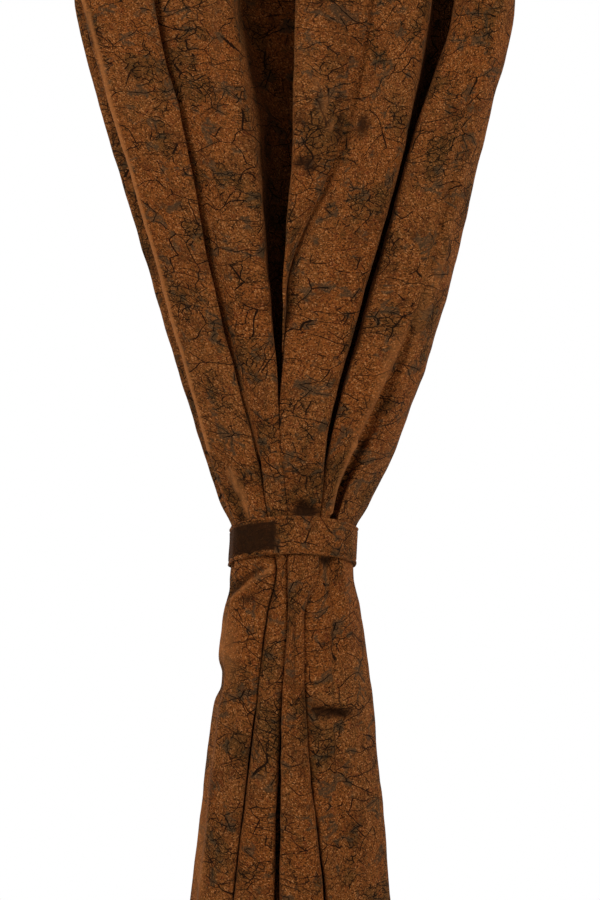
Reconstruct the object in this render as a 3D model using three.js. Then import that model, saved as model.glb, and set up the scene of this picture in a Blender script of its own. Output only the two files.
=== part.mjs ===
// A long velvet drape drawn in at its waist by a band of the same velvet.
// Millimetres, Z up. The drape's face looks along -Y and X runs to the right of it.
// The origin is the middle of the top edge, from which the whole drape hangs.
import * as THREE from "three";

// The panel of cloth, as it is cut and hemmed
const FLAT_WIDTH = 1200;
const FLAT_LENGTH = 2134;
const CLOTH_THICKNESS = 1.6;

// The band that ties it in: a double strip, lapped and closed behind
const BAND_HEIGHT = 50;
const BAND_THICKNESS = 3.6;
const BAND_CLEARANCE = 0.9; // from the cloth inside it, and between its own lapped ends
const BAND_FRONT_Z = -1191; // middle of the band's height at the front
const BAND_DROP = 14; // how far the band falls from there to its sides
const BAND_LAP = 50; // how far one end lies over the other
const LAP_RAMP = 1.1; // laps' lengths over which the upper end climbs onto the lower one
const BAND_STEPS = 96; // facets along the strip
const BAND_ROWS = 5; // rows of points across its height
const AIMS = 180; // directions in which the bundle of folds is measured for it

// Where the folds are set out, from the top edge down. `round` draws the row of folds towards
// an oval, from 0 for a straight row. `lie` names the column that gives the folds' depths.
const LEVELS = [
  { name: "heading", z: 0, round: 0.15, lie: "open" },
  { name: "shoulder", z: -471, round: 0.25, lie: "open" },
  { name: "middle", z: -876, round: 0.45, lie: "open" },
  { name: "neck", z: -1078, round: 0.65, lie: "tied" },
  { name: "waist", z: -1178, round: 0.8, lie: "tied" },
  { name: "cuff", z: -1236, round: 0.8, lie: "tied" },
  { name: "knee", z: -1416, round: 0.7, lie: "fall" },
  { name: "foot", z: -1686, round: 0.6, lie: "fall" },
  { name: "hem", z: -2134, round: 0.5, lie: "fall" },
];

// The edges of the folds, crests and valleys, in order across the cloth. The first columns
// give the x of an edge at each level. The last three give how far back it lies, from -1 at
// the front of the folds to 1 at their back: hanging open, tied in, and falling free below.
const FOLD_TABLE = [
  ["edge", "heading", "shoulder", "middle", "neck", "waist", "cuff", "knee", "foot", "hem",
    "open", "tied", "fall"],
  ["left hem", -270, -240, -130, -72, -36, -36, -60, -95, -140, 0.95, 1.0, 0.95],
  ["left side", -335, -296, -183, -121, -86, -84, -105, -138, -183, 0.15, 0.1, 0.15],
  ["first ridge", -322, -287, -169, -115, -77, -74, -93, -124, -167, -0.75, -0.75, -0.75],
  ["first fold", -222, -192, -109, -55, -37, -32, -55, -93, -133, -0.95, -0.95, -0.92],
  ["groove left", -214, -186, -112, -62, -47, -43, -65, -99, -137, 0.5, 0.7, 0.65],
  ["groove right", -200, -174, -96, -46, -33, -30, -51, -84, -122, 0.55, 0.75, 0.7],
  ["second fold left", -150, -124, -93, -44, -27, -22, -45, -82, -116, -0.85, -0.95, -0.95],
  ["second fold right", -88, -76, -34, -18, -10, -9, -19, -28, -52, -1.0, -1.0, -0.95],
  ["recess left", -78, -67, -38, -31, -22, -19, -36, -52, -70, 0.75, 0.75, 0.75],
  ["recess right", -10, -8, -24, -21, -13, -11, -26, -38, -52, 0.9, 0.85, 0.8],
  ["third fold left", 8, 3, -19, -17, -9, -7, -19, -28, -40, -1.15, 0.0, 0.1],
  ["third fold right", 124, 109, -8, -11, -3, -1, -12, -18, -24, -1.05, -0.05, 0.05],
  ["tuck left", 112, 98, -6, -2, 3, 3, -8, -9, -10, -0.45, 0.7, 0.6],
  ["tuck right", 116, 103, 4, 8, 12, 12, 2, 1, 4, -0.35, 0.75, 0.65],
  ["fourth fold left", 135, 121, 7, -8, -1, 0, -10, -14, -18, -0.65, -1.0, -1.05],
  ["fourth fold right", 205, 184, 89, 40, 29, 25, 13, 33, 64, -0.95, -1.0, -1.0],
  ["gap left", 214, 193, 84, 34, 25, 22, 12, 26, 56, 0.6, 0.7, 0.65],
  ["gap right", 232, 210, 104, 52, 40, 37, 27, 44, 76, 0.85, 0.8, 0.75],
  ["fifth fold left", 243, 219, 103, 49, 38, 33, 22, 42, 78, -0.85, -0.95, -0.9],
  ["fifth ridge", 270, 245, 160, 70, 50, 48, 48, 62, 98, -0.9, -0.9, -0.85],
  ["dip left", 284, 261, 168, 73, 50, 46, 54, 68, 104, -0.78, 0.35, -0.8],
  ["dip right", 290, 266, 172, 81, 58, 54, 62, 73, 109, -0.76, 0.35, -0.79],
  ["lobe", 305, 278, 184, 95, 62, 57, 70, 84, 122, -0.7, -0.75, -0.82],
  ["right side", 335, 298, 203, 137, 86, 82, 107, 130, 168, 0.1, 0.1, 0.12],
  ["right hem", 285, 245, 150, 84, 36, 34, 60, 88, 125, 0.95, 1.0, 0.95],
];

const STEPS_PER_EDGE = 4; // facets across the cloth between two fold edges
const SLICE = 15; // spacing of the level sections that the cloth is lofted through
const FOLD_DEPTHS = { least: 10, most: 120, within: 0.02 }; // half depths that are tried
const LENGTH_SAMPLES = 12; // chords between two fold edges when a section is measured

// Distances down the cloth at which the solid has a row of facets, closest at the waist
const ROWS = [
  0, 120, 260, 390, 490, 580, 660, 740, 820, 900, 960, 1010, 1060, 1100, 1135, 1165, 1195,
  1220, 1245, 1275, 1305, 1345, 1400, 1470, 1550, 1650, 1770, 1900, 2030, FLAT_LENGTH,
];

const [columns, ...entries] = FOLD_TABLE;
const FOLDS = entries.map((entry) =>
  Object.fromEntries(columns.map((column, i) => [column, entry[i]])),
);

// The value at height z of a quantity given at each level: smooth, with no overshoot.
function throughLevels(values, z) {
  const slope = (i) => (values[i + 1] - values[i]) / (LEVELS[i + 1].z - LEVELS[i].z);
  const tangent = (i) => {
    if (i === 0) return slope(0);
    if (i === LEVELS.length - 1) return slope(i - 1);
    const product = slope(i - 1) * slope(i);
    return product > 0 ? (2 * product) / (slope(i - 1) + slope(i)) : 0;
  };
  const next = LEVELS.findIndex((level, i) => i > 0 && level.z <= z);
  const i = (next < 0 ? LEVELS.length - 1 : next) - 1;
  const span = LEVELS[i + 1].z - LEVELS[i].z;
  const t = (z - LEVELS[i].z) / span;
  return (
    values[i] * (1 + 2 * t) * (1 - t) ** 2 +
    values[i + 1] * (3 - 2 * t) * t ** 2 +
    span * t * (1 - t) * (tangent(i) * (1 - t) - tangent(i + 1) * t)
  );
}

// The line of the cloth at height z. Its folds are as deep as the width of the panel asks.
function section(z) {
  const edges = FOLDS.map((fold) => ({
    x: throughLevels(LEVELS.map((level) => fold[level.name]), z),
    back: throughLevels(LEVELS.map((level) => fold[level.lie]), z),
  }));
  const left = Math.min(...edges.map((edge) => edge.x));
  const right = Math.max(...edges.map((edge) => edge.x));
  const round = throughLevels(LEVELS.map((level) => level.round), z);
  const lineWithDepth = (depth) => {
    const points = edges.map(({ x, back }) => {
      const across = (2 * x - left - right) / (right - left);
      const y = depth * back * Math.sqrt(1 - (round * across) ** 2);
      return new THREE.Vector3(x, y, z);
    });
    const line = new THREE.CatmullRomCurve3(points, false, "centripetal");
    line.arcLengthDivisions = LENGTH_SAMPLES * points.length;
    return line;
  };
  let shallow = FOLD_DEPTHS.least;
  let deep = FOLD_DEPTHS.most;
  while (deep - shallow > FOLD_DEPTHS.within) {
    const depth = (shallow + deep) / 2;
    if (lineWithDepth(depth).getLength() < FLAT_WIDTH) shallow = depth;
    else deep = depth;
  }
  return lineWithDepth(deep);
}

// Points across the cloth at height z, closest together at the fold edges.
function pointsAcross(z) {
  const line = section(z);
  const spans = FOLDS.length - 1;
  return Array.from({ length: spans * STEPS_PER_EDGE + 1 }, (_, i) => {
    const span = Math.min(Math.floor(i / STEPS_PER_EDGE), spans - 1);
    const part = i / STEPS_PER_EDGE - span;
    return line.getPoint((span + (1 - Math.cos(Math.PI * part)) / 2) / spans);
  });
}

// The rows of points of the hanging cloth, each at one distance down the cloth from its top
// edge. The cloth at the sides runs aslant to the waist, so its hem is drawn up there.
function hangingCloth() {
  const slices = [];
  for (let z = 0; z > -FLAT_LENGTH - SLICE; z -= SLICE) slices.push(pointsAcross(z));
  const rows = ROWS.map(() => []);
  slices[0].forEach((_, column) => {
    const threads = slices.map((slice) => slice[column]);
    const reach = [0];
    threads.slice(1).forEach((point, i) => reach.push(reach[i] + point.distanceTo(threads[i])));
    ROWS.forEach((distance, row) => {
      const below = reach.findIndex((r, i) => i > 0 && r >= distance);
      const t = (distance - reach[below - 1]) / (reach[below] - reach[below - 1]);
      rows[row].push(new THREE.Vector3().lerpVectors(threads[below - 1], threads[below], t));
    });
  });
  return rows;
}

// A closed solid of even thickness about a grid of points.
function thickSheet(rows, thickness) {
  const down = rows.length;
  const across = rows[0].length;
  const at = (r, c) => rows[THREE.MathUtils.clamp(r, 0, down - 1)][
    THREE.MathUtils.clamp(c, 0, across - 1)];
  const positions = [];
  for (const side of [0.5, -0.5]) {
    for (let r = 0; r < down; r++) {
      for (let c = 0; c < across; c++) {
        const alongRow = at(r, c + 1).clone().sub(at(r, c - 1));
        const alongColumn = at(r + 1, c).clone().sub(at(r - 1, c));
        const normal = alongRow.cross(alongColumn).normalize();
        positions.push(...normal.multiplyScalar(side * thickness).add(at(r, c)).toArray());
      }
    }
  }
  const faces = [];
  const quad = (a, b, c, d) => faces.push(a, b, c, a, c, d);
  const near = (r, c) => r * across + c;
  const far = (r, c) => down * across + r * across + c;
  for (let r = 0; r < down - 1; r++) {
    for (let c = 0; c < across - 1; c++) {
      quad(near(r, c), near(r, c + 1), near(r + 1, c + 1), near(r + 1, c));
      quad(far(r, c), far(r + 1, c), far(r + 1, c + 1), far(r, c + 1));
    }
    quad(near(r, 0), near(r + 1, 0), far(r + 1, 0), far(r, 0));
    quad(near(r + 1, across - 1), near(r, across - 1), far(r, across - 1), far(r + 1, across - 1));
  }
  for (let c = 0; c < across - 1; c++) {
    quad(near(0, c + 1), near(0, c), far(0, c), far(0, c + 1));
    quad(near(down - 1, c), near(down - 1, c + 1), far(down - 1, c + 1), far(down - 1, c));
  }
  const geometry = new THREE.BufferGeometry();
  geometry.setAttribute("position", new THREE.Float32BufferAttribute(positions, 3));
  geometry.setIndex(faces);
  geometry.computeVertexNormals();
  return geometry;
}

// The line that the faceted cloth makes at height z.
function outlineAt(rows, z) {
  return rows[0].map((_, column) => {
    const below = rows.findIndex((row) => row[column].z <= z);
    const [over, under] = [rows[below - 1][column], rows[below][column]];
    return new THREE.Vector3().lerpVectors(over, under, (z - over.z) / (under.z - over.z));
  });
}

// How far a taut loop round the bundle of folds reaches from the axis, in any direction, when
// it keeps a margin outside the outline. Directions turn from the front towards the right.
function tautReach(outline, margin) {
  const directions = Array.from({ length: AIMS }, (_, i) => (2 * Math.PI * i) / AIMS);
  const supports = directions.map((angle) => {
    const reaches = outline.map((point) => point.x * Math.sin(angle) - point.y * Math.cos(angle));
    return Math.max(...reaches) + margin;
  });
  return (angle) =>
    Math.min(
      ...directions.map((other, i) => {
        const facing = Math.cos(angle - other);
        return facing > 0 ? supports[i] / facing : Infinity;
      }),
    );
}

// The rows of points of the strip. It starts behind, runs once round the cloth and ends on
// top of its own start.
function bandRound(cloth) {
  const turn = 2 * Math.PI;
  const margin = CLOTH_THICKNESS / 2 + BAND_CLEARANCE + BAND_THICKNESS / 2;
  const backZ = BAND_FRONT_Z - 2 * BAND_DROP;
  const lap = BAND_LAP / tautReach(outlineAt(cloth, backZ), margin)(Math.PI);
  return Array.from({ length: BAND_ROWS }, (_, row) =>
    Array.from({ length: BAND_STEPS + 1 }, (_, step) => {
      const angle = -(turn + lap) / 2 + (step / BAND_STEPS) * (turn + lap);
      const middle = BAND_FRONT_Z - BAND_DROP * (1 - Math.cos(angle));
      const z = middle + BAND_HEIGHT * (0.5 - row / (BAND_ROWS - 1));
      const lapStart = Math.PI - lap / 2;
      const onTop = THREE.MathUtils.smoothstep(angle, lapStart - LAP_RAMP * lap, lapStart);
      const radius =
        tautReach(outlineAt(cloth, z), margin)(angle) +
        onTop * (BAND_THICKNESS + BAND_CLEARANCE);
      return new THREE.Vector3(radius * Math.sin(angle), -radius * Math.cos(angle), z);
    }),
  );
}

const velvet = new THREE.MeshStandardMaterial({ color: 0x7a4420, roughness: 0.9, metalness: 0 });
const bandVelvet = new THREE.MeshStandardMaterial({ color: 0x6a3a1c, roughness: 0.9, metalness: 0 });

function namedMesh(name, geometry, material) {
  const mesh = new THREE.Mesh(geometry, material);
  mesh.name = name;
  return mesh;
}

const drape = new THREE.Group();
const cloth = hangingCloth();
drape.add(namedMesh("drape_panel", thickSheet(cloth, CLOTH_THICKNESS), velvet));
drape.add(namedMesh("tieback_band", thickSheet(bandRound(cloth), BAND_THICKNESS), bandVelvet));

export default drape;
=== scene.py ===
"""A long velvet drape, drawn in at its waist by a band of the same velvet.

Metres, Z up. The origin is the middle of the drape's top edge and its face looks along -Y.
"""

import math

import bmesh
import bpy
import numpy as np
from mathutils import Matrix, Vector, noise


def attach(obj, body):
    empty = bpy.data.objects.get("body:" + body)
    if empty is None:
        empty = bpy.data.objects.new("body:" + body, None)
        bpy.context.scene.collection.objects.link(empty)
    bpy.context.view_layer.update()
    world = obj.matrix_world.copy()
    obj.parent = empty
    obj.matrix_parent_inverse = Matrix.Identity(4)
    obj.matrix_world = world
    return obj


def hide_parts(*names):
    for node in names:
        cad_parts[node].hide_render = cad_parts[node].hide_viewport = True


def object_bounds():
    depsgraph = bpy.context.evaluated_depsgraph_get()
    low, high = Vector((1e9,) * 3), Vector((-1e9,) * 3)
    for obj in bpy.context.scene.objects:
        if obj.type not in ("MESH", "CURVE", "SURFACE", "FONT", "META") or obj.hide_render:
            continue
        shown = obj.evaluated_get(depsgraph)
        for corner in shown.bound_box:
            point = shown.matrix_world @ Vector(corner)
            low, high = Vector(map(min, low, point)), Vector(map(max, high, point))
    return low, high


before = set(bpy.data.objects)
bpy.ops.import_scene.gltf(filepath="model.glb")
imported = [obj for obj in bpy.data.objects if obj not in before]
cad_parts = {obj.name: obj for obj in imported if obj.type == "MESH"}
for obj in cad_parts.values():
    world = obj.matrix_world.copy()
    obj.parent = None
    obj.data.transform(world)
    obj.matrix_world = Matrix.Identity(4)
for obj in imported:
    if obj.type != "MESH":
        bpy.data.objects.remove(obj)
packed_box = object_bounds()


# ---------------------------------------------------------------------------------------
# The camera stands level, three metres in front of the drape, and looks at its waist.
# Its picture takes in a little over half of the drape's length.
# ---------------------------------------------------------------------------------------
CAMERA_DISTANCE = 3.0
CAMERA_SIDE = 0.0088
CAMERA_HEIGHT = -1.078
HEIGHT_IN_VIEW = 1.215
SENSOR_HEIGHT = 24.0

camera_data = bpy.data.cameras.new("studio_camera")
camera_data.sensor_fit = "VERTICAL"
camera_data.sensor_height = SENSOR_HEIGHT
camera_data.lens = SENSOR_HEIGHT * CAMERA_DISTANCE / HEIGHT_IN_VIEW
studio_camera = bpy.data.objects.new("studio_camera", camera_data)
studio_camera.location = (CAMERA_SIDE, -CAMERA_DISTANCE, CAMERA_HEIGHT)
studio_camera.rotation_euler = (math.pi / 2, 0, 0)
bpy.context.scene.collection.objects.link(studio_camera)
bpy.context.scene.camera = studio_camera


# ---------------------------------------------------------------------------------------
# The drape panel: one width of crushed polyester velvet, hemmed on its four sides, hung in
# deep folds from its top edge and drawn in at the waist. A sheet is laid on the folds of
# its solid, row by row down the cloth, and pressed with the creases of its faces.
# ---------------------------------------------------------------------------------------
MM = 0.001
FLAT_WIDTH = 1.200
FLAT_LENGTH = 2.134
CLOTH_THICKNESS = 0.0016
HEM_THICKNESS = 0.0028
HEM_DEPTH = {"heading": 0.040, "foot": 0.075, "side": 0.022}

# Where the folds are set out, from the top edge down, in millimetres. `round` draws the row
# of folds towards an oval. `lie` names the column that gives the folds' depths.
LEVELS = [
    {"name": "heading", "z": 0, "round": 0.15, "lie": "open"},
    {"name": "shoulder", "z": -471, "round": 0.25, "lie": "open"},
    {"name": "slope", "z": -660, "round": 0.35, "lie": "open"},
    {"name": "middle", "z": -876, "round": 0.45, "lie": "open"},
    {"name": "neck", "z": -1078, "round": 0.65, "lie": "tied"},
    {"name": "collar", "z": -1146, "round": 0.75, "lie": "bound"},
    {"name": "waist", "z": -1190, "round": 0.8, "lie": "bound"},
    {"name": "cuff", "z": -1236, "round": 0.8, "lie": "fall"},
    {"name": "calf", "z": -1300, "round": 0.75, "lie": "fall"},
    {"name": "knee", "z": -1416, "round": 0.7, "lie": "fall"},
    {"name": "foot", "z": -1686, "round": 0.6, "lie": "fall"},
    {"name": "hem", "z": -2134, "round": 0.5, "lie": "fall"},
]

# The edges of the folds in order across the cloth, in millimetres: x at each level, and how
# far back the edge lies, from -1 at the front of the folds to 1 at their back.
FOLD_TABLE = [
    ["edge", "heading", "shoulder", "slope", "middle", "neck", "collar", "waist", "cuff",
     "calf", "knee", "foot", "hem", "open", "tied", "bound", "fall"],
    ["left hem", -270, -240, -192, -130, -72, -48, -36, -36, -44.5, -60, -95, -140,
     0.95, 1.0, 1.0, 0.95],
    ["left side", -335, -296, -247, -183, -121, -99, -81, -83, -91.5, -106, -140, -183,
     0.1, 0.1, 0.1, 0.15],
    ["rim tuck", -310, -274, -223, -162, -106, -86, -72, -74, -84, -99, -131, -175,
     -0.2, -0.2, -0.2, -0.35],
    ["first ridge", -317, -280.5, -229, -168, -112, -91, -75, -77, -86, -95, -126, -169,
     -0.75, -0.75, -0.75, -0.75],
    ["first fold", -217, -187, -146, -104, -53, -39.5, -33.5, -26, -38.5, -53, -85, -125,
     -0.92, -0.92, -0.92, -0.9],
    ["groove left", -216, -188, -149, -105, -52.5, -37.5, -31.5, -41, -51, -64, -95, -133,
     -0.62, -0.86, 0.5, 0.6],
    ["groove right", -204, -179, -140, -99, -49, -36, -30, -27, -39, -49, -81, -119,
     -0.72, -0.86, 0.55, 0.5],
    ["second fold rise", -190, -165, -129, -92, -45, -35, -29, -21.5, -33.5, -48, -80, -118,
     -0.8, -0.9, -0.9, -0.85],
    ["second fold left", -150, -124, -106, -81, -36, -26, -21, -16, -25.5, -42, -77, -112,
     -0.92, -0.97, -0.97, -0.95],
    ["second fold right", -99, -88, -62, -36.5, -17, -10.5, -7.5, -9.5, -9.5, -17, -29, -40,
     -0.98, -1.0, -1.0, -0.95],
    ["recess left", -74, -64, -30, -34, -31, -25, -22, -19, -25, -36, -55, -70,
     0.6, 0.82, 0.75, 0.75],
    ["recess right", 16, 14, 8, -8, -17, -14, -13, -11, -16.5, -26, -41, -52,
     0.95, 0.93, 0.85, 0.8],
    ["third fold left", 11, 7, 4, -12.5, -15, -9, -7, -7, -11.5, -19, -31, -40,
     -1.08, 0.0, 0.0, 0.1],
    ["third fold right", 112, 100, 64, -11.5, -13, -6, -3, -1, -5, -12, -18, -24,
     -0.92, -0.05, -0.05, 0.05],
    ["tuck left", 110, 97, 62, -11, -4, 0, 2, 3, -1, -8, -9, -10,
     -0.82, 0.8, 0.7, 0.6],
    ["tuck right", 116, 104, 68, -8.5, 4, 8, 10, 12, 8.5, 2, 1, 4,
     -0.79, 0.85, 0.75, 0.65],
    ["fourth fold left", 132, 120, 84, -5, -15, -6.5, -3, -4.5, -6, -12.5, -14, -15,
     -0.88, -1.0, -1.0, -1.05],
    ["fourth fold right", 188, 172, 143, 85, 38, 33, 30.5, 29.5, 10, 13, 38, 72,
     -0.95, -1.0, -1.0, -1.0],
    ["gap left", 212, 194, 153, 88, 37, 34.5, 32, 24, 7.5, 10, 32, 62,
     0.6, 0.15, 0.6, 0.65],
    ["gap right", 238, 216, 166, 106, 50, 36, 33.5, 38, 20, 25, 48, 80,
     0.9, 0.25, 0.65, 0.75],
    ["fifth fold left", 244, 220, 166, 105, 49.5, 37, 34.5, 34.5, 15, 18.5, 46, 78,
     -0.8, -0.95, -0.95, -0.9],
    ["fifth ridge", 270, 245, 215, 163, 73, 50.5, 43.5, 46, 46.5, 48, 62, 98,
     -0.9, -1.0, -1.0, -0.85],
    ["dip left", 284, 261, 222, 170, 78, 53.5, 46, 50, 51.5, 54, 68, 104,
     -0.78, -0.7, -0.58, -0.83],
    ["dip right", 290, 266, 227, 176, 83, 56.5, 48.5, 54, 57, 62, 73, 109,
     -0.76, -0.7, -0.58, -0.83],
    ["lobe", 305, 278, 236, 186, 100, 65, 57, 66, 67.5, 70, 84, 122,
     -0.7, -0.85, -0.9, -0.84],
    ["right side", 335, 298, 255, 203, 137, 103, 80.5, 78.5, 91, 107, 130, 168,
     0.1, 0.1, 0.1, 0.12],
    ["right hem", 285, 245, 201, 150, 84, 50, 36, 34, 43.5, 60, 88, 125,
     0.95, 1.0, 1.0, 0.95],
]

# The creases of the faces, in millimetres: the two fold edges that each lies between, the
# points it runs through as (x, z), its half width, its height (below zero for a trough), and
# how much painted shade lies along it (below zero, a painted highlight catching the light).
CREASE_TABLE = [
    ["crease", "from", "to", "path", "half width", "height", "dark"],
    ["nook ridge", "third fold left", "third fold right",
     [(1, -544), (30, -578), (42, -612), (50, -650)], 9, 3.6, -0.6],
    ["nook trough", "third fold left", "third fold right",
     [(13, -556), (43, -591), (58, -621), (64, -655)], 8, -4, 0.44],
    ["middle dent", "third fold left", "third fold right",
     [(8, -636), (16, -648)], 12, -3, 0.33],
    ["upper dent", "third fold left", "third fold right",
     [(10, -694), (22, -706)], 11, -4, 0.44],
    ["lower dent", "third fold left", "third fold right",
     [(19, -798), (26, -814)], 11, -3.6, 0.4],
    ["fourth dent", "tuck right", "fourth fold right",
     [(93, -634), (88, -662)], 10, -3, 0.33],
    ["inner ridge", "fifth fold left", "lobe",
     [(187, -771), (160, -896), (127, -957), (103, -1020), (80, -1070)], 7, 3, -0.5],
    ["lower ridge", "fifth fold left", "lobe",
     [(80, -1070), (69, -1097), (59, -1125), (50, -1160)], 3.5, 3, -0.7],
    ["inner valley", "fifth fold left", "lobe",
     [(194, -771), (177, -818), (142, -957), (124, -996), (104, -1040), (91, -1070)],
     7, -4.5, 0.42],
    ["lower valley", "fifth fold left", "lobe",
     [(90, -1070), (77, -1098), (66, -1125), (57, -1156)], 4.2, -4, 0.6],
    ["outer swell", "fifth fold left", "lobe",
     [(216, -776), (192, -851), (164, -921), (138, -985)], 12, 3, -0.33],
    ["rim crest", "left side", "first fold",
     [(-280.5, -471), (-229, -660), (-168, -876), (-112, -1078)], 2.4, 1.5, -1.2],
    ["rim shade", "left side", "first fold",
     [(-289, -471), (-237, -660), (-175, -876), (-119, -1078)], 5, 0, 0.5],
    ["shoulder line", "second fold left", "second fold right",
     [(-124, -471), (-120, -560), (-108, -660)], 8, -2, 0.22],
    ["shoulder ridge", "second fold left", "second fold right",
     [(-108, -471), (-104, -560), (-94, -660)], 10, 1.6, -0.18],
    ["nip ridge", "first ridge", "first fold",
     [(-83, -1105), (-74, -1126), (-65, -1141), (-60, -1168)], 6, 3.6, -0.8],
    ["nip corner", "first ridge", "first fold",
     [(-76, -1140), (-70, -1172)], 6, -3, 0.2],
    ["pocket", "fourth fold left", "fourth fold right",
     [(9, -1153), (24, -1159)], 10, -12, 0.9],
    ["pocket edge", "fourth fold left", "fourth fold right",
     [(0, -1139), (16, -1136), (30, -1141)], 6, 2.4, -0.27],
    ["cross ridge", "first ridge", "first fold",
     [(-26, -1233), (-49, -1245), (-70, -1266), (-93, -1287)], 2.8, 3, -0.9],
    ["cross valley", "left side", "first fold",
     [(-44, -1236), (-62, -1247), (-84, -1266), (-98, -1282)], 5.5, -7, 0.7],
    ["lower trough", "first ridge", "first fold",
     [(-44, -1262), (-62, -1279)], 7, -3, 0.33],
    ["right nick", "fifth fold left", "lobe",
     [(38, -1222), (46, -1228)], 6, -4, 0.4],
    ["knee crease", "fifth fold left", "lobe",
     [(28, -1421), (48, -1422), (70, -1430), (86, -1433)], 5, -8, 0.9],
    ["knee ridge", "fifth fold left", "lobe",
     [(30, -1410), (52, -1411), (72, -1419), (86, -1423)], 7, 3, -0.33],
    ["faint line", "first ridge", "first fold",
     [(-78, -1435), (-96, -1465)], 6, -1.5, 0.17],
    ["side swell", "left hem", "first ridge",
     [(-112, -1300), (-116, -1350)], 24, 2.5, -0.28],
    ["side notch", "left hem", "first ridge",
     [(-104, -1378), (-106, -1396)], 14, -7, 0.78],
    ["third line", "second fold right", "fourth fold right",
     [(1, -1290), (2, -1400), (0, -1480)], 3, -2, 0.45],
]

# Spots of brushed pile and of painted shade where the folds are dim, in millimetres: the fold
# edges each lies between, its middle as x and z, its half width and half height, and how dark
# it is (below zero, a painted highlight where it catches the light).
BRUSHED_AND_SHADED_TABLE = [
    ["from", "to", "x", "z", "wide", "high", "dark"],
    ["third fold left", "third fold right", 70, -530, 30, 75, 0.35],
    ["third fold left", "third fold right", 12, -697, 20, 6, 0.6],
    ["third fold left", "third fold right", 28, -709, 14, 5, 0.5],
    ["third fold left", "third fold right", 21, -801, 12, 6, 0.7],
    ["third fold left", "third fold right", 27, -812, 9, 5, 0.6],
    ["third fold left", "third fold right", 7, -640, 9, 14, 0.45],
    ["third fold left", "third fold right", 62, -668, 6, 46, 0.45],
    ["fourth fold left", "fourth fold right", 92, -648, 9, 16, 0.6],
    ["fourth fold left", "fourth fold right", 16, -1160, 21, 7, 1.0],
    ["fourth fold left", "fourth fold right", 13, -1122, 14, 30, 0.35],
    ["fifth fold left", "fifth ridge", 39, -1118, 10, 36, 0.4],
    ["fifth fold left", "lobe", 42, -1225, 9, 6, 0.85],
    ["fifth fold left", "right side", 57, -1426, 30, 8, 0.85],
    ["first ridge", "first fold", -66, -1275, 16, 7, 0.5],
    ["first ridge", "first fold", -68, -1166, 9, 9, 0.6],
    ["left side", "first fold", -88, -1345, 17, 60, -0.5],
    ["left side", "first fold", -128, -1600, 12, 110, -0.5],
]

COLUMN_COUNT = 234  # strips of the sheet across the cloth
FEWEST_STRIPS = 4  # between two fold edges
CURVE_STEPS = 16  # chords in which the cloth between two fold edges is measured
SLICE_SPACING = 0.006  # between the heights at which the fold edges are worked out
THREAD_DRIFT = 0.22  # length of cloth over which a thread may wander along the folds
DEPTHS_TRIED = (0.010, 0.120)  # the least and the greatest half depth that the folds may take
HALVINGS = 14  # of the range between those two, to close in on the depth

# How close the sheet's rows are, in metres, at distances down the cloth: finest at the waist.
ROW_SPACING = [
    (0.00, 0.034), (0.45, 0.014), (0.80, 0.010), (1.02, 0.0052), (1.46, 0.0052),
    (1.55, 0.011), (1.72, 0.026), (FLAT_LENGTH, 0.034),
]

LEVEL_Z = np.array([level["z"] for level in LEVELS], float) * MM
EDGE_NAMES = [row[0] for row in FOLD_TABLE[1:]]
FOLDS = {
    column: np.array([row[place] for row in FOLD_TABLE[1:]], float)
    for place, column in enumerate(FOLD_TABLE[0])
    if column != "edge"
}


def through_levels(values, heights):
    """Quantities given at each level, read at other heights: smooth, with no overshoot."""
    slope = np.diff(values, axis=0) / np.diff(LEVEL_Z)[:, None]
    product = slope[:-1] * slope[1:]
    total = slope[:-1] + slope[1:]
    same_way = product > 0
    inner = np.where(same_way, 2 * product / np.where(same_way, total, 1), 0)
    tangent = np.vstack([slope[:1], inner, slope[-1:]])
    upper = np.clip(np.searchsorted(-LEVEL_Z, -heights) - 1, 0, len(LEVEL_Z) - 2)
    span = (LEVEL_Z[upper + 1] - LEVEL_Z[upper])[:, None]
    t = (heights - LEVEL_Z[upper])[:, None] / span
    return (
        values[upper] * (1 + 2 * t) * (1 - t) ** 2
        + values[upper + 1] * (3 - 2 * t) * t**2
        + span * t * (1 - t) * (tangent[upper] * (1 - t) - tangent[upper + 1] * t)
    )


def cloth_lines(edges, parts):
    """Smooth lines through rows of fold edges, at the given parts of each span between two."""
    before = 2 * edges[:, :1] - edges[:, 1:2]
    after = 2 * edges[:, -1:] - edges[:, -2:-1]
    run = np.concatenate([before, edges, after], axis=1)
    knot = np.sqrt(np.linalg.norm(np.diff(run, axis=1), axis=2))[..., None]
    p0, p1, p2, p3 = (run[:, k : run.shape[1] - 3 + k] for k in range(4))
    d0, d1, d2 = (knot[:, k : knot.shape[1] - 2 + k] for k in range(3))
    leave = ((p1 - p0) / d0 - (p2 - p0) / (d0 + d1) + (p2 - p1) / d1) * d1
    arrive = ((p2 - p1) / d1 - (p3 - p1) / (d1 + d2) + (p3 - p2) / d2) * d1
    p1, p2, leave, arrive = (p[:, :, None] for p in (p1, p2, leave, arrive))
    t = parts[None, None, :, None]
    return (
        p1
        + leave * t
        + (3 * (p2 - p1) - 2 * leave - arrive) * t**2
        + (2 * (p1 - p2) + leave + arrive) * t**3
    )


def line_lengths(lines):
    """The length of each line, measured from point to point."""
    return np.linalg.norm(np.diff(lines, axis=2), axis=3).sum(axis=2)


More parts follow.
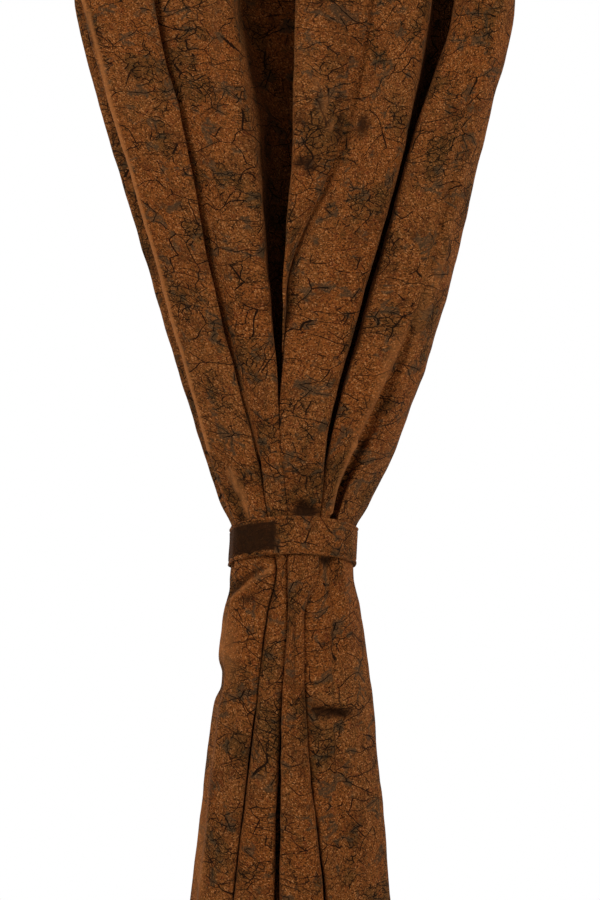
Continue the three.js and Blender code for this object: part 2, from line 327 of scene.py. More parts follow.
def fold_edges(heights):
    """The fold edges at each height, with folds as deep as the width of the cloth asks."""
    x = through_levels(np.array([FOLDS[level["name"]] for level in LEVELS]) * MM, heights)
    back = through_levels(np.array([FOLDS[level["lie"]] for level in LEVELS]), heights)
    rounds = np.array([[level["round"]] for level in LEVELS])
    oval = through_levels(rounds, heights)
    left = x.min(axis=1, keepdims=True)
    right = x.max(axis=1, keepdims=True)
    across = (2 * x - left - right) / (right - left)
    lie = back * np.sqrt(1 - (oval * across) ** 2)
    shallow, deep = (np.full((len(heights), 1), tried) for tried in DEPTHS_TRIED)
    measure = np.linspace(0, 1, CURVE_STEPS + 1)
    for _ in range(HALVINGS):
        depth = (shallow + deep) / 2
        lines = cloth_lines(np.stack([x, depth * lie], axis=2), measure)
        short = line_lengths(lines).sum(axis=1, keepdims=True) < FLAT_WIDTH
        shallow = np.where(short, depth, shallow)
        deep = np.where(short, deep, depth)
    return np.stack([x, deep * lie], axis=2)


def hang_cloth():
    """The sheet's points in rows from the hem up, their distance across and down the cloth,
    and their station: 3.5 is halfway from the fold edge 3 to the next."""
    heights = np.arange(0, -FLAT_LENGTH - SLICE_SPACING, -SLICE_SPACING)
    edges = fold_edges(heights)
    fine = cloth_lines(edges, np.linspace(0, 1, CURVE_STEPS + 1))
    share = line_lengths(fine).mean(axis=0) / FLAT_WIDTH
    strips = np.maximum(FEWEST_STRIPS, np.round(share * COLUMN_COUNT).astype(int))
    threads, stations = [], []
    for span, count in enumerate(strips):
        even = np.linspace(0, 1, count + 1)
        crowded = (1 - np.cos(np.linspace(0, math.pi, count + 1))) / 2
        parts = (even + crowded) / 2
        if span < len(strips) - 1:
            parts = parts[:-1]
        threads.append(cloth_lines(edges, parts)[:, span])
        stations.append(span + parts)
    threads = np.concatenate(threads, axis=1)
    stations = np.concatenate(stations)
    threads = np.dstack([threads, np.repeat(heights[:, None], len(stations), axis=1)])
    steps = np.linalg.norm(np.diff(threads, axis=0), axis=2)
    reach = np.vstack([np.zeros(len(stations)), np.cumsum(steps, axis=0)])
    marks = [0.0]
    while marks[-1] < FLAT_LENGTH:
        marks.append(marks[-1] + np.interp(marks[-1], *zip(*ROW_SPACING)))
    down = np.array(marks) * FLAT_LENGTH / marks[-1]
    points = np.empty((len(down), len(stations), 3))
    for column in range(len(stations)):
        for axis in range(3):
            points[:, column, axis] = np.interp(
                down, reach[:, column], threads[:, column, axis]
            )
    run = np.linalg.norm(np.diff(points, axis=1), axis=2)
    across = np.hstack([np.zeros((len(down), 1)), np.cumsum(run, axis=1)])
    nearness = np.exp(-(((down[:, None] - down[None, :]) / THREAD_DRIFT) ** 2))
    across = nearness @ across / nearness.sum(axis=1, keepdims=True)
    return points[::-1], across[::-1], down[::-1], stations


def facing(points):
    """Unit normals of a sheet of points, out of its face."""
    along = np.gradient(points, axis=1)
    up = np.gradient(points, axis=0)
    normal = np.cross(along, up)
    return normal / np.linalg.norm(normal, axis=2, keepdims=True)


CREASE_FADE = 0.12  # part of the way between two fold edges in which a crease dies out
SPOTS_PAST = 0.2  # part of that way by which a spot of brushed pile and painted shade may pass its fold edges


def distance_to_path(x, z, path):
    """Distance of points to a line through (x, z) places, seen from the front."""
    near = np.full(x.shape, np.inf)
    for (ax, az), (bx, bz) in zip(path, path[1:]):
        run, rise = bx - ax, bz - az
        t = np.clip(((x - ax) * run + (z - az) * rise) / (run**2 + rise**2), 0, 1)
        near = np.minimum(near, np.hypot(x - ax - t * run, z - az - t * rise))
    return near


def pressed_creases(points, stations):
    """How far each point of the sheet stands out of its face, and its painted shade, below zero
    a painted highlight.
    """
    height = np.zeros(points.shape[:2])
    dark = np.zeros(points.shape[:2])
    columns = CREASE_TABLE[0]
    for entry in CREASE_TABLE[1:]:
        crease = dict(zip(columns, entry))
        first, last = EDGE_NAMES.index(crease["from"]), EDGE_NAMES.index(crease["to"])
        from_edges = np.minimum(stations - first, last - stations)
        inside = np.clip(from_edges / CREASE_FADE + 0.5, 0, 1)
        path = [(x * MM, z * MM) for x, z in crease["path"]]
        away = distance_to_path(points[..., 0], points[..., 2], path)
        swell = np.exp(-((away / (crease["half width"] * MM)) ** 2)) * inside
        height += crease["height"] * MM * swell
        dark += crease["dark"] * swell
    return height, dark


def brushed_and_shaded_pile(points, stations):
    """How dark each point of the sheet is by the table: brushed pile and painted shade, with
    painted highlights below zero.
    """
    dark = np.zeros(points.shape[:2])
    columns = BRUSHED_AND_SHADED_TABLE[0]
    for entry in BRUSHED_AND_SHADED_TABLE[1:]:
        spot = dict(zip(columns, entry))
        first, last = EDGE_NAMES.index(spot["from"]), EDGE_NAMES.index(spot["to"])
        inside = (stations > first - SPOTS_PAST) & (stations < last + SPOTS_PAST)
        away = np.hypot((points[..., 0] / MM - spot["x"]) / spot["wide"],
                        (points[..., 2] / MM - spot["z"]) / spot["high"])
        dark += spot["dark"] * np.exp(-(away**3)) * inside
    return dark


# The cloth's own unevenness: how large each kind is across and down the cloth, how high it
# stands, and the plane of the noise that it is read from. The puckers are at the waist alone.
WAVES = [
    {"name": "slow wave", "across": 0.090, "down": 0.260, "height": 0.0022, "plane": 0.0},
    {"name": "soft dents", "across": 0.045, "down": 0.060, "height": 0.0016, "plane": 7.3},
    {"name": "crush", "across": 0.020, "down": 0.024, "height": 0.0010, "plane": 14.6},
]
PUCKERS = {"across": 0.016, "down": 0.11, "height": 0.0022, "plane": 40.0}
PUCKER_REACH = 0.075
WAIST_Z = -1.200


def wave_height(wave, u, v):
    """How high one kind of unevenness stands at a place on the flat cloth."""
    spot = Vector((u / wave["across"], v / wave["down"], wave["plane"]))
    return wave["height"] * noise.noise(spot)


def uneven(across, down, z):
    """Waves, dents and crushed places of the cloth, and the puckers at its waist."""
    height = np.zeros(across.shape)
    for row in range(across.shape[0]):
        near_waist = math.exp(-(((z[row].mean() - WAIST_Z) / PUCKER_REACH) ** 2))
        for column in range(across.shape[1]):
            u, v = across[row, column], down[row]
            height[row, column] = sum(wave_height(wave, u, v) for wave in WAVES)
            height[row, column] += near_waist * wave_height(PUCKERS, u, v)
    return height


points, across, down, stations = hang_cloth()
normal = facing(points)
crease_height, crease_shade_and_highlight = pressed_creases(points, stations)
raised = crease_height + uneven(across, down, points[..., 2])
cloth = points + normal * raised[..., None]
row_count, column_count = cloth.shape[:2]

sheet = bmesh.new()
bmesh.ops.create_grid(
    sheet, x_segments=column_count - 1, y_segments=row_count - 1, size=0.5
)
sheet.verts.ensure_lookup_table()
for place, vertex in enumerate(sheet.verts):
    vertex.co = cloth[place // column_count, place % column_count]
chart = sheet.loops.layers.uv.new("cloth")
for face in sheet.faces:
    for loop in face.loops:
        row, column = divmod(loop.vert.index, column_count)
        loop[chart].uv = (across[row, column], FLAT_LENGTH - down[row])
drape_mesh = bpy.data.meshes.new("drape_panel")
sheet.to_mesh(drape_mesh)
sheet.free()
drape_mesh.polygons.foreach_set("use_smooth", [True] * len(drape_mesh.polygons))
# The velvet's colour follows one attribute: brushed pile, painted shade in the creases and dim
# places, and below zero painted highlights on ridges and lit edges.
pile_lay_and_painted_light = np.clip(crease_shade_and_highlight + brushed_and_shaded_pile(points, stations), -1, 1)
lay_and_light_data = drape_mesh.attributes.new("pile_lay_and_painted_light", "FLOAT", "POINT")
lay_and_light_data.data.foreach_set("value", pile_lay_and_painted_light.ravel().astype(np.float32))
drape = bpy.data.objects.new("velvet_drape", drape_mesh)
bpy.context.scene.collection.objects.link(drape)

from_side = np.minimum(across, FLAT_WIDTH - across)
hemmed = (
    (down[:, None] < HEM_DEPTH["heading"])
    | (down[:, None] > FLAT_LENGTH - HEM_DEPTH["foot"])
    | (from_side < HEM_DEPTH["side"])
)
hem_group = drape.vertex_groups.new(name="hem")
hem_group.add([int(i) for i in np.flatnonzero(hemmed.ravel())], 1.0, "REPLACE")
body_share = CLOTH_THICKNESS / HEM_THICKNESS
hem_group.add([int(i) for i in np.flatnonzero(~hemmed.ravel())], body_share, "REPLACE")
solidify = drape.modifiers.new("cloth_thickness", "SOLIDIFY")
solidify.thickness = HEM_THICKNESS
solidify.offset = 0
solidify.vertex_group = "hem"
solidify.material_offset = 1
solidify.material_offset_rim = 0


def dyed(red, green, blue):
    """A colour given as sRGB from 0 to 255, as the linear colour of a shader."""
    linear = [
        c / 12.92 if c <= 0.04045 else ((c + 0.055) / 1.055) ** 2.4
        for c in (red / 255, green / 255, blue / 255)
    ]
    return (*linear, 1.0)


def fitted(tree, kind, sockets=None, **settings):
    """A new node with its settings, and each named socket given a value or an output."""
    made = tree.nodes.new(kind)
    for name, value in settings.items():
        setattr(made, name, value)
    for socket, value in (sockets or {}).items():
        if isinstance(value, bpy.types.NodeSocket):
            tree.links.new(value, made.inputs[socket])
        else:
            made.inputs[socket].default_value = value
    return made


def reckon(tree, operation, first, second):
    """One sum or other step of arithmetic on two values or outputs."""
    return fitted(tree, "ShaderNodeMath", {0: first, 1: second}, operation=operation).outputs[0]


def ramped(tree, value, low, high):
    """0 below low and 1 above high, with a smooth step between. High may be under low."""
    sockets = {"Value": value, "From Min": low, "From Max": high}
    step = fitted(tree, "ShaderNodeMapRange", sockets, interpolation_type="SMOOTHSTEP")
    return step.outputs["Result"]


def stretched(tree, place, width, height, turn=0.0):
    """The cloth's chart in units of a pattern of that width and height."""
    sockets = {"Vector": place, "Scale": (1 / width, 1 / height, 1), "Rotation": (0, 0, turn)}
    return fitted(tree, "ShaderNodeMapping", sockets)


def mottle(tree, place, width, height, detail, rough, seed):
    """Soft noise with blotches of that width and height, about 0.5 in the mean."""
    chart = stretched(tree, place, width, height).outputs["Vector"]
    moved = fitted(tree, "ShaderNodeVectorMath", {0: chart, 1: (seed, seed * 0.37, 0)},
                   operation="ADD").outputs["Vector"]
    sockets = {"Vector": moved, "Scale": 1.0, "Detail": detail, "Roughness": rough}
    return fitted(tree, "ShaderNodeTexNoise", sockets, noise_dimensions="2D")


def wandering(tree, place, reach, size, seed):
    """The chart pushed about by noise, so that lines drawn on it wander."""
    push = mottle(tree, place, size, size, 2.0, 0.55, seed).outputs["Color"]
    centred = fitted(tree, "ShaderNodeVectorMath", {0: push, 1: (0.5, 0.5, 0.5)},
                     operation="SUBTRACT").outputs["Vector"]
    sized = fitted(tree, "ShaderNodeVectorMath", {0: centred, "Scale": reach},
                   operation="SCALE").outputs["Vector"]
    return fitted(tree, "ShaderNodeVectorMath", {0: place, 1: sized},
                  operation="ADD").outputs["Vector"]


def crackle_distance(tree, place, width, height, turn):
    """Distance in metres to the nearest line of a net of cracks with cells of that size."""
    cells = fitted(tree, "ShaderNodeTexVoronoi",
                   {"Vector": stretched(tree, place, width, height, turn).outputs["Vector"],
                    "Scale": 1.0},
                   voronoi_dimensions="2D", feature="DISTANCE_TO_EDGE").outputs["Distance"]
    return reckon(tree, "MULTIPLY", cells, math.sqrt(width * height))


def mixed(tree, amount, first, second):
    """The first colour, or the second where the amount is 1, and a mix of them between."""
    mix = tree.nodes.new("ShaderNodeMix")
    mix.data_type = "RGBA"
    for name, value in {"Factor": amount, "A": first, "B": second}.items():
        socket = next(s for s in mix.inputs if s.name == name and s.enabled)
        if isinstance(value, bpy.types.NodeSocket):
            tree.links.new(value, socket)
        else:
            socket.default_value = value
    return next(s for s in mix.outputs if s.enabled)


VELVET = {
    "pile light": dyed(134, 79, 36),
    "pile warm": dyed(138, 77, 32),
    "pile shade": dyed(30, 15, 6),
    "crushed pile": dyed(62, 32, 13),
    # darker pile where it is brushed, and painted shade in creases and dim places
    "brushed pile and painted shade": dyed(38, 20, 8),
    # painted highlight on ridges and edges that catch the light
    "painted pile highlight": dyed(168, 105, 57),
    # painted glint on single tufts
    "painted pile glint": dyed(186, 126, 76),
    "red fleck": dyed(104, 42, 22),
    "olive fleck": dyed(64, 48, 22),
    "crack": dyed(16, 9, 5),
    "worn grey": dyed(59, 50, 35),
}
GRAIN_SIZE = 0.0013
GRAIN_TURN = 0.6

# The soft blotches of the velvet: width and height in metres, detail, roughness and seed
BLOTCHES = {
    "broad": (0.110, 0.150, 2.0, 0.5, 3.0),
    "patch": (0.034, 0.044, 3.0, 0.6, 11.0),
    "speckle": (0.0024, 0.0026, 1.0, 0.7, 5.0),
    "tint": (0.0090, 0.0110, 2.0, 0.6, 23.0),
    "knots": (0.062, 0.080, 3.0, 0.6, 41.0),
    "smudge": (0.030, 0.034, 3.0, 0.6, 53.0),
}

# The pile's tufts: the shares of the speckle and the grain in them, where the light shade of
# the blotches turns into the warm one, and where a tuft turns from shade into light.
TUFT_SHARES = {"speckle": 0.25, "red grain": 0.75}
WARM_FROM_TO = (0.36, 0.66)
LIT_FROM_TO = (-0.03, 0.78)

# The shades mixed into the pile in turn. Each follows one or two signs: the sign, where it
# starts to show and where it shows in full, and how much of the shade it brings there.
PILE_TINTS = [
    # painted glints of light on single tufts
    ("painted pile glint", [("red grain", 0.85, 1.0, 0.76)]),
    ("crushed pile", [("patch", 0.50, 0.72, 0.45)]),
    ("red fleck", [("green grain", 0.60, 0.95, 0.22), ("tint", 0.58, 0.74, 0.25)]),
    ("olive fleck", [("blue grain", 0.70, 0.97, 0.22), ("tint", 0.42, 0.28, 0.28)]),
]

# The nets of cracks, from the long ones to the hatching of the knots: the cells' size in
# metres and their turn, half the line's width, the blotches that interrupt the lines, the
# knots that hold them, and how much narrower the worn pile beside them is, where it is worn.
CRACKS = [
    {"size": (0.100, 0.034), "turn": 0.10, "line": 0.00074, "gap size": 0.075, "gaps": 0.42,
     "seed": 61.0, "in knots": None, "worn": 1.0},
    {"size": (0.050, 0.040), "turn": -0.70, "line": 0.00064, "gap size": 0.045, "gaps": 0.50,
     "seed": 68.0, "in knots": None, "worn": 2.0},
    {"size": (0.026, 0.016), "turn": 0.30, "line": 0.00054, "gap size": 0.020, "gaps": 0.46,
     "seed": 75.0, "in knots": (0.46, 0.52), "worn": 3.0},
    {"size": (0.0150, 0.0095), "turn": -1.0, "line": 0.00052, "gap size": 0.012, "gaps": 0.46,
     "seed": 82.0, "in knots": (0.52, 0.565), "worn": None},
    {"size": (0.0100, 0.0068), "turn": 0.85, "line": 0.00050, "gap size": 0.009, "gaps": 0.46,
     "seed": 89.0, "in knots": (0.565, 0.61), "worn": None},
]
LINE_FADE = (1.3, 0.6)  # from nothing to full, in half widths of a line
GAP_FADE = 0.06

# How the cracks stray from straight lines: how far and in how large bends, and their seed
STRAYING = [(0.040, 0.090, 2.0), (0.0040, 0.020, 8.0), (0.0013, 0.0040, 14.0)]

# Where the worn grey and the rubbed knots show, and how fully each shade covers the pile
WORN_REACH = (0.0100, 0.0015)
WORN_FROM_TO = (0.54, 0.63)
RUBBED_FROM_TO = (0.53, 0.68)
COVER = {"olive fleck": 0.45, "worn grey": 0.66, "crack": 0.94, "brushed pile and painted shade": 0.93,
         "painted pile highlight": 0.68}
CRACK_RELIEF = 0.7


def blotches(tree, place, kind):
    """The velvet's blotches of one kind, as a value from 0 to 1."""
    return mottle(tree, place, *BLOTCHES[kind]).outputs["Fac"]


def pile_signs(tree, place):
    """What the pile's colour follows: its blotches, and three numbers drawn for each tuft."""
    kinds = ("broad", "patch", "speckle", "tint")
    signs = {kind: blotches(tree, place, kind) for kind in kinds}
    grid = stretched(tree, place, GRAIN_SIZE, GRAIN_SIZE, GRAIN_TURN).outputs["Vector"]
    grain = fitted(tree, "ShaderNodeTexVoronoi", {"Vector": grid, "Scale": 1.0},
                   voronoi_dimensions="2D", feature="F1").outputs["Color"]
    drawn = fitted(tree, "ShaderNodeSeparateColor", {"Color": grain}).outputs
    for channel in ("Red", "Green", "Blue"):
        signs[channel.lower() + " grain"] = drawn[channel]
    return signs


def grainy_pile(tree, signs):
    """The colour of the pile: lit and shaded tufts, painted glints, crushed places and flecks.
    """
    warm = ramped(tree, signs["broad"], *WARM_FROM_TO)
    light = mixed(tree, warm, VELVET["pile light"], VELVET["pile warm"])
    tuft = 0.0
    for sign, share in TUFT_SHARES.items():
        tuft = reckon(tree, "ADD", tuft, reckon(tree, "MULTIPLY", signs[sign], share))
    colour = mixed(tree, ramped(tree, tuft, *LIT_FROM_TO), VELVET["pile shade"], light)
    for shade, followed in PILE_TINTS:
        amount = 0.0
        for sign, low, high, most in followed:
            shown = reckon(tree, "MULTIPLY", ramped(tree, signs[sign], low, high), most)
            amount = reckon(tree, "ADD", amount, shown)
        colour = mixed(tree, amount, colour, VELVET[shade])
    return colour


def crackle(tree, place, knots):
    """How fully a crack is drawn, and how far off the nearest crack with worn sides is."""
    strayed = place
    for reach, size, seed in STRAYING:
        strayed = wandering(tree, strayed, reach, size, seed)
    line, worn_to = 0.0, 1.0
    for crack in CRACKS:
        away = crackle_distance(tree, strayed, *crack["size"], crack["turn"])
        drawn = ramped(tree, away, *(crack["line"] * fade for fade in LINE_FADE))
        gap = mottle(tree, place, crack["gap size"], crack["gap size"], 1.0, 0.5,
                     crack["seed"]).outputs["Fac"]
        kept = ramped(tree, gap, crack["gaps"], crack["gaps"] + GAP_FADE)
        drawn = reckon(tree, "MULTIPLY", drawn, kept)
        if crack["in knots"]:
            drawn = reckon(tree, "MULTIPLY", drawn, ramped(tree, knots, *crack["in knots"]))
        line = reckon(tree, "MAXIMUM", line, drawn)
        if crack["worn"]:
            spaced = reckon(tree, "MULTIPLY", away, crack["worn"])
            worn_to = reckon(tree, "MINIMUM", worn_to, spaced)
    return line, worn_to


def velvet_face(name, offset=0.0):
    """Velvet with a burnt-out crackle: grainy pile with painted glints, brushed places with
    painted shade and painted highlights, cracks and worn grey.
    """
    material = bpy.data.materials.new(name)
    material.use_nodes = True
    tree = material.node_tree
    shader = tree.nodes["Principled BSDF"]
    chart = fitted(tree, "ShaderNodeUVMap", uv_map="cloth").outputs["UV"]
    place = fitted(tree, "ShaderNodeVectorMath", {0: chart, 1: (offset, offset, 0)},
                   operation="ADD").outputs["Vector"]
    signs = pile_signs(tree, place)
    knots = blotches(tree, place, "knots")
    line, worn_to = crackle(tree, place, knots)
    worn = reckon(tree, "MULTIPLY", ramped(tree, worn_to, *WORN_REACH),
                  ramped(tree, blotches(tree, place, "smudge"), *WORN_FROM_TO))
    # The attribute brings brushed pile and painted shade above zero, and painted highlights
    # below zero.
    lay_and_light = fitted(tree, "ShaderNodeAttribute", attribute_name="pile_lay_and_painted_light").outputs["Fac"]
    laid_over = [
        ("olive fleck", ramped(tree, knots, *RUBBED_FROM_TO)),
        ("worn grey", worn),
        ("crack", line),
        ("brushed pile and painted shade", ramped(tree, lay_and_light, 0.0, 1.0)),
        ("painted pile highlight", ramped(tree, lay_and_light, 0.0, -1.0)),
    ]
    colour = grainy_pile(tree, signs)
    for shade, shown in laid_over:
        amount = reckon(tree, "MULTIPLY", shown, COVER[shade])
        colour = mixed(tree, amount, colour, VELVET[shade])
    tree.links.new(colour, shader.inputs["Base Color"])

    sunk = reckon(tree, "MULTIPLY", line, CRACK_RELIEF)
    relief = reckon(tree, "SUBTRACT", signs["speckle"], sunk)
    bump = fitted(tree, "ShaderNodeBump", {"Height": relief, "Strength": 0.5,
                                           "Distance": 0.0014})
    tree.links.new(bump.outputs["Normal"], shader.inputs["Normal"])
    shader.inputs["Roughness"].default_value = 0.92
    shader.inputs["Specular IOR Level"].default_value = 0.04
    shader.inputs["Sheen Weight"].default_value = 0.12
    shader.inputs["Sheen Roughness"].default_value = 0.40
    shader.inputs["Sheen Tint"].default_value = dyed(214, 150, 104)
    return material


REVERSE = {
    "dark thread": dyed(104, 68, 44),
    "light thread": dyed(128, 86, 58),
    "blotch": dyed(96, 60, 38),
}
THREAD_STREAK = (0.003, 0.080, 3.0, 0.6, 2.0)  # as the blotches above
REVERSE_BLOTCH = (0.060, 0.060, 2.0, 0.5, 9.0)
BLOTCH_COVER = 0.35
THREAD_SPACING = 0.0012


def woven_back(name):
    """The plain ground of the velvet, as it shows on the reverse of the drape."""
    material = bpy.data.materials.new(name)
    material.use_nodes = True
    tree = material.node_tree
    shader = tree.nodes["Principled BSDF"]
    place = fitted(tree, "ShaderNodeUVMap", uv_map="cloth").outputs["UV"]
    streak = mottle(tree, place, *THREAD_STREAK).outputs["Fac"]
    colour = mixed(tree, streak, REVERSE["dark thread"], REVERSE["light thread"])
    blotch = mottle(tree, place, *REVERSE_BLOTCH).outputs["Fac"]
    covered = reckon(tree, "MULTIPLY", blotch, BLOTCH_COVER)
    colour = mixed(tree, covered, colour, REVERSE["blotch"])
    tree.links.new(colour, shader.inputs["Base Color"])
    grid = stretched(tree, place, THREAD_SPACING, THREAD_SPACING).outputs["Vector"]
    threads = fitted(tree, "ShaderNodeTexWave", {"Vector": grid, "Scale": 1.0,
                                                 "Distortion": 0.4},
                     bands_direction="DIAGONAL").outputs["Fac"]
    bump = fitted(tree, "ShaderNodeBump", {"Height": threads, "Strength": 0.35,
                                           "Distance": 0.0006})
    tree.links.new(bump.outputs["Normal"], shader.inputs["Normal"])
    shader.inputs["Roughness"].default_value = 0.85
    shader.inputs["Specular IOR Level"].default_value = 0.2
    return material


drape_mesh.materials.append(velvet_face("brown_crushed_velvet"))
drape_mesh.materials.append(woven_back("velvet_reverse"))

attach(drape, "root")
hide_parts("drape_panel")


# ---------------------------------------------------------------------------------------
# The tieback band: a flat strip of the same velvet, folded double and stitched along both
# edges, passed round the waist of the drape and closed on its own start behind.
# ---------------------------------------------------------------------------------------
BAND_HEIGHT = 0.050
BAND_THICKNESS = 0.0036
BAND_CLEARANCE = 0.0009
BAND_FRONT_Z = -1.1895
BAND_DROP = 0.0195  # how far its sides hang below its front; its back hangs twice as far
BAND_LAP = 0.050
LAP_RAMP = 1.1  # laps over which the free end climbs onto the start
BAND_STEPS = 420
BAND_ROWS = 34
EDGE_ROWS = 7
MERGE_DISTANCE = 1e-5
BAND_CHART_OFFSET = 0.31  # so that the band shows another stretch of the crackle

half_height = BAND_HEIGHT / 2
half_thick = BAND_THICKNESS / 2
flat_half = half_height - half_thick

# How the folds under the band are measured: between two heights, counted from the middle of
# the band's front, at so many of them, and how far the folds reach in so many directions.
PROBED = (-0.075, 0.045)
PROBES = 40
AIMS = 360
LEAST_COSINE = 0.05  # of the turn between a direction and a fold that still holds the band


def outline_at(height):
    """The line that the sheet of the drape makes at one height."""
    line = np.empty((column_count, 2))
    for column in range(column_count):
        for axis in range(2):
            line[column, axis] = np.interp(
                height, cloth[:, column, 2], cloth[:, column, axis]
            )
    return line


AIM_ANGLES = np.linspace(0, 2 * math.pi, AIMS, endpoint=False)


def supports_at(height, margin):
    """How far the folds reach in each direction, turning from the front to the right."""
    line = outline_at(height)
    reach = line[:, :1] * np.sin(AIM_ANGLES) - line[:, 1:] * np.cos(AIM_ANGLES)
    return reach.max(axis=0) + margin


def taut_reach(supports, angle):
    """How far a taut loop round the folds lies from the axis in one direction."""
    turned = np.cos(angle - AIM_ANGLES)
    ahead = turned > LEAST_COSINE
    return (supports[ahead] / turned[ahead]).min()


inner_margin = CLOTH_THICKNESS / 2 + BAND_CLEARANCE + BAND_THICKNESS / 2
probe_heights = np.linspace(BAND_FRONT_Z + PROBED[0], BAND_FRONT_Z + PROBED[1], PROBES)
supports = [supports_at(height, inner_margin) for height in probe_heights]
reaches = np.array([[taut_reach(row, angle) for angle in AIM_ANGLES] for row in supports])


def band_reach(angle, heights):
    """How far the middle of the band's thickness lies from the axis, at each height."""
    place = (angle % (2 * math.pi)) / (2 * math.pi) * AIMS
    before = int(place)
    part = place - before
    column = reaches[:, before % AIMS] * (1 - part) + reaches[:, (before + 1) % AIMS] * part
    return np.interp(heights, probe_heights, column)


def smooth_step(value, low, high):
    """0 below low and 1 above high, with a smooth step between."""
    t = min(max((value - low) / (high - low), 0.0), 1.0)
    return t * t * (3 - 2 * t)


# The pile of the band's face, in metres and radians: the two rows of stitches, the brushed
# patch at its left end with frayed edges and a painted highlight on the lip below it, a darker
# spot at its right end, and how the cloth puffs out between the stitches.
STITCH_FROM_TOP = 0.0045
STITCH_FROM_BOTTOM = 0.0055
STITCH_WIDTH = 0.0010
STITCH_DEPTH = 0.0009
STITCH_DARK = 0.45
PATCH_TO_X = -0.021
PATCH_SIDE_FADE = 0.006
PATCH_FROM_ANGLE = -1.75
PATCH_ANGLE_FADE = 0.15
PATCH_TOP_FADE = (0.0030, 0.0080)
PATCH_BOTTOM_FADE = (0.0045, 0.0085)
LIP_FADE = (0.0015, 0.0050)
LIP_HIGHLIGHT = 0.5
SPOT_X = 0.070
SPOT_UP = -0.001
SPOT_FADE = (0.002, 0.007)
SPOT_DARK = 0.5
FRAY_SIZE = (0.006, 0.009)
FRAY_REACH = {"side": 0.006, "edge": 0.001, "spot": 0.003}
PUFF_SIZE = (0.030, 0.040)
PUFF_HEIGHT = 0.0006
FRAY_PLANE = 9.0
PUFF_PLANE = 3.0


def band_noise(along, up, size, plane):
    """Smooth noise over the flat band, in blotches of that length and height."""
    return noise.noise(Vector((along / size[0], up / size[1], plane)))


def stitched(up):
    """How deep each row of stitches is pressed in at a height on the band, from 0 to 1."""
    from_rows = (half_height - up - STITCH_FROM_TOP, half_height + up - STITCH_FROM_BOTTOM)
    return [math.exp(-((distance / STITCH_WIDTH) ** 2)) for distance in from_rows]


def band_pile(angle, along, up, side_x):
    """How dark the pile lies on the band's face, below zero for the painted highlight where its
    lip catches the light.
    """
    from_top, from_bottom = half_height - up, half_height + up
    fray = band_noise(along, up, FRAY_SIZE, FRAY_PLANE)
    past_side = PATCH_TO_X - side_x - FRAY_REACH["side"] * fray
    patch = smooth_step(past_side, -PATCH_SIDE_FADE, PATCH_SIDE_FADE)
    patch *= smooth_step(angle, PATCH_FROM_ANGLE, PATCH_FROM_ANGLE + PATCH_ANGLE_FADE)
    inside = smooth_step(from_top + FRAY_REACH["edge"] * fray, *PATCH_TOP_FADE)
    inside *= smooth_step(from_bottom + FRAY_REACH["edge"] * fray, *PATCH_BOTTOM_FADE)
    # the lip along the band's foot below the patch gets a painted highlight
    lip = patch * (1 - smooth_step(from_bottom, *LIP_FADE))
    dark = max(STITCH_DARK * max(stitched(up)), patch * inside) - LIP_HIGHLIGHT * lip
    from_spot = math.hypot(side_x - SPOT_X, up - SPOT_UP) + FRAY_REACH["spot"] * fray
    return max(dark, SPOT_DARK * (1 - smooth_step(from_spot, *SPOT_FADE)))


lap_angle = BAND_LAP / band_reach(math.pi, BAND_FRONT_Z - 2 * BAND_DROP)
lap_start = math.pi - lap_angle / 2
band_turn = 2 * math.pi + lap_angle

# The band's section, from the foot of its face round to its start: how far up each place is,
# how far out in half thicknesses, and whether it is on the face.
section = []
for row in range(BAND_ROWS + 1):
    section.append(((2 * row / BAND_ROWS - 1) * flat_half, 1.0, True))
for row in range(1, EDGE_ROWS):
    turn = math.pi * row / EDGE_ROWS
    section.append((flat_half + half_thick * math.sin(turn), math.cos(turn), False))
for row in range(BAND_ROWS + 1):
    section.append(((1 - 2 * row / BAND_ROWS) * flat_half, -1.0, False))
for row in range(1, EDGE_ROWS + 1):
    turn = math.pi * row / EDGE_ROWS
    section.append((-flat_half - half_thick * math.sin(turn), -math.cos(turn), False))
girth = np.cumsum([0.0] + [
    math.hypot(b[0] - a[0], (b[1] - a[1]) * half_thick) for a, b in zip(section, section[1:])
])

strip_length = 0.0
radius = 0.0
band_points = []
for step in range(BAND_STEPS + 1):
    angle = -band_turn / 2 + step / BAND_STEPS * band_turn
    middle = BAND_FRONT_Z - BAND_DROP * (1 - math.cos(angle))
    on_top = smooth_step(angle, lap_start - LAP_RAMP * lap_angle, lap_start)
    lift = on_top * (BAND_THICKNESS + BAND_CLEARANCE)
    strip_length += band_turn / BAND_STEPS * radius
    radius = band_reach(angle, middle) + lift
    reach_round = band_reach(angle, [middle + up for up, _, _ in section]) + lift
    for (up, out, on_face), reach in zip(section, reach_round):
        swell = 0.0
        lay_and_light = 0.0
        if on_face:
            puff = band_noise(strip_length, up, PUFF_SIZE, PUFF_PLANE)
            swell = PUFF_HEIGHT * puff - STITCH_DEPTH * sum(stitched(up))
            lay_and_light = band_pile(angle, strip_length, up, reach * math.sin(angle))
        out_to = reach + half_thick * out + swell
        spot = Vector((out_to * math.sin(angle), -out_to * math.cos(angle), middle + up))
        band_points.append((strip_length, lay_and_light, spot))

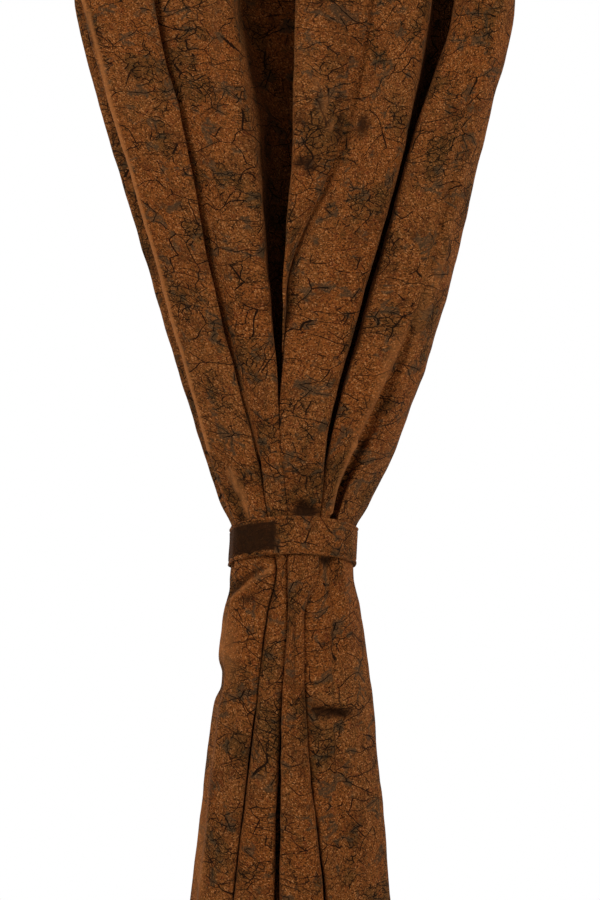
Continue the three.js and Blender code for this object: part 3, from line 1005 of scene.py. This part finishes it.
band_sheet = bmesh.new()
bmesh.ops.create_grid(band_sheet, x_segments=BAND_STEPS, y_segments=len(section) - 1, size=0.5)
band_sheet.verts.ensure_lookup_table()
band_chart = band_sheet.loops.layers.uv.new("cloth")
band_lay_and_light = band_sheet.verts.layers.float.new("pile_lay_and_painted_light")
places_round = len(section)
for place, vertex in enumerate(band_sheet.verts):
    row, step = divmod(place, BAND_STEPS + 1)
    _, vertex[band_lay_and_light], vertex.co = band_points[step * places_round + row]
for face in band_sheet.faces:
    for loop in face.loops:
        row, step = divmod(loop.vert.index, BAND_STEPS + 1)
        loop[band_chart].uv = (band_points[step * places_round + row][0], girth[row])
bmesh.ops.remove_doubles(band_sheet, verts=band_sheet.verts, dist=MERGE_DISTANCE)
open_edges = [edge for edge in band_sheet.edges if edge.is_boundary]
bmesh.ops.holes_fill(band_sheet, edges=open_edges, sides=0)
bmesh.ops.recalc_face_normals(band_sheet, faces=band_sheet.faces)
band_mesh = bpy.data.meshes.new("tieback_band")
band_sheet.to_mesh(band_mesh)
band_sheet.free()
band_mesh.polygons.foreach_set("use_smooth", [True] * len(band_mesh.polygons))
band = bpy.data.objects.new("velvet_tieback", band_mesh)
bpy.context.scene.collection.objects.link(band)
band_mesh.materials.append(velvet_face("band_crushed_velvet", BAND_CHART_OFFSET))

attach(band, "root")
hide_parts("tieback_band")


# ---------------------------------------------------------------------------------------
# The studio: a plain pale floor just under the hem, a white surround that is dimmer in front
# of the drape than behind it, and a soft light on each side.
# ---------------------------------------------------------------------------------------
FLOOR_DROP = 0.012
FLOOR_HALF_SIZE = 1.6
FLOOR_COLOUR = (0.82, 0.81, 0.79, 1)
FRONT_GLOW = 0.30
BACK_GLOW = 1.0
GLOW_FROM_TO = (-0.2, 0.6)

floor_sheet = bmesh.new()
bmesh.ops.create_grid(floor_sheet, x_segments=2, y_segments=2, size=FLOOR_HALF_SIZE)
for vertex in floor_sheet.verts:
    vertex.co.z = packed_box[0].z - FLOOR_DROP
floor_mesh = bpy.data.meshes.new("studio_floor")
floor_sheet.to_mesh(floor_mesh)
floor_sheet.free()
floor_paint = bpy.data.materials.new("pale_floor")
floor_paint.use_nodes = True
floor_shader = floor_paint.node_tree.nodes["Principled BSDF"]
floor_shader.inputs["Base Color"].default_value = FLOOR_COLOUR
floor_shader.inputs["Roughness"].default_value = 0.8
floor_mesh.materials.append(floor_paint)
floor = bpy.data.objects.new("studio_floor", floor_mesh)
bpy.context.scene.collection.objects.link(floor)

world = bpy.data.worlds.new("white_surround")
world.use_nodes = True
surround = world.node_tree
surround.nodes["Background"].inputs["Color"].default_value = (1, 1, 1, 1)
heading_to = fitted(surround, "ShaderNodeTexCoord").outputs["Generated"]
behind = fitted(surround, "ShaderNodeSeparateXYZ", {0: heading_to}).outputs["Y"]
glow = fitted(surround, "ShaderNodeMapRange",
              {"Value": behind, "From Min": GLOW_FROM_TO[0], "From Max": GLOW_FROM_TO[1],
               "To Min": FRONT_GLOW, "To Max": BACK_GLOW}).outputs["Result"]
surround.links.new(glow, surround.nodes["Background"].inputs["Strength"])
bpy.context.scene.world = world
bpy.context.scene.view_settings.view_transform = "Standard"

SOFT_LIGHTS = [
    {"name": "left_light", "at": (-2.1, -1.7, 0.4), "size": 1.0, "watts": 43},
    {"name": "right_light", "at": (2.2, -1.7, 0.3), "size": 1.0, "watts": 40},
]
for lamp in SOFT_LIGHTS:
    lamp_data = bpy.data.lights.new(lamp["name"], "AREA")
    lamp_data.energy = lamp["watts"]
    lamp_data.size = lamp["size"]
    lamp_object = bpy.data.objects.new(lamp["name"], lamp_data)
    lamp_object.location = lamp["at"]
    aim = Vector((0, 0, CAMERA_HEIGHT)) - Vector(lamp["at"])
    lamp_object.rotation_euler = aim.to_track_quat("-Z", "Y").to_euler()
    bpy.context.scene.collection.objects.link(lamp_object)
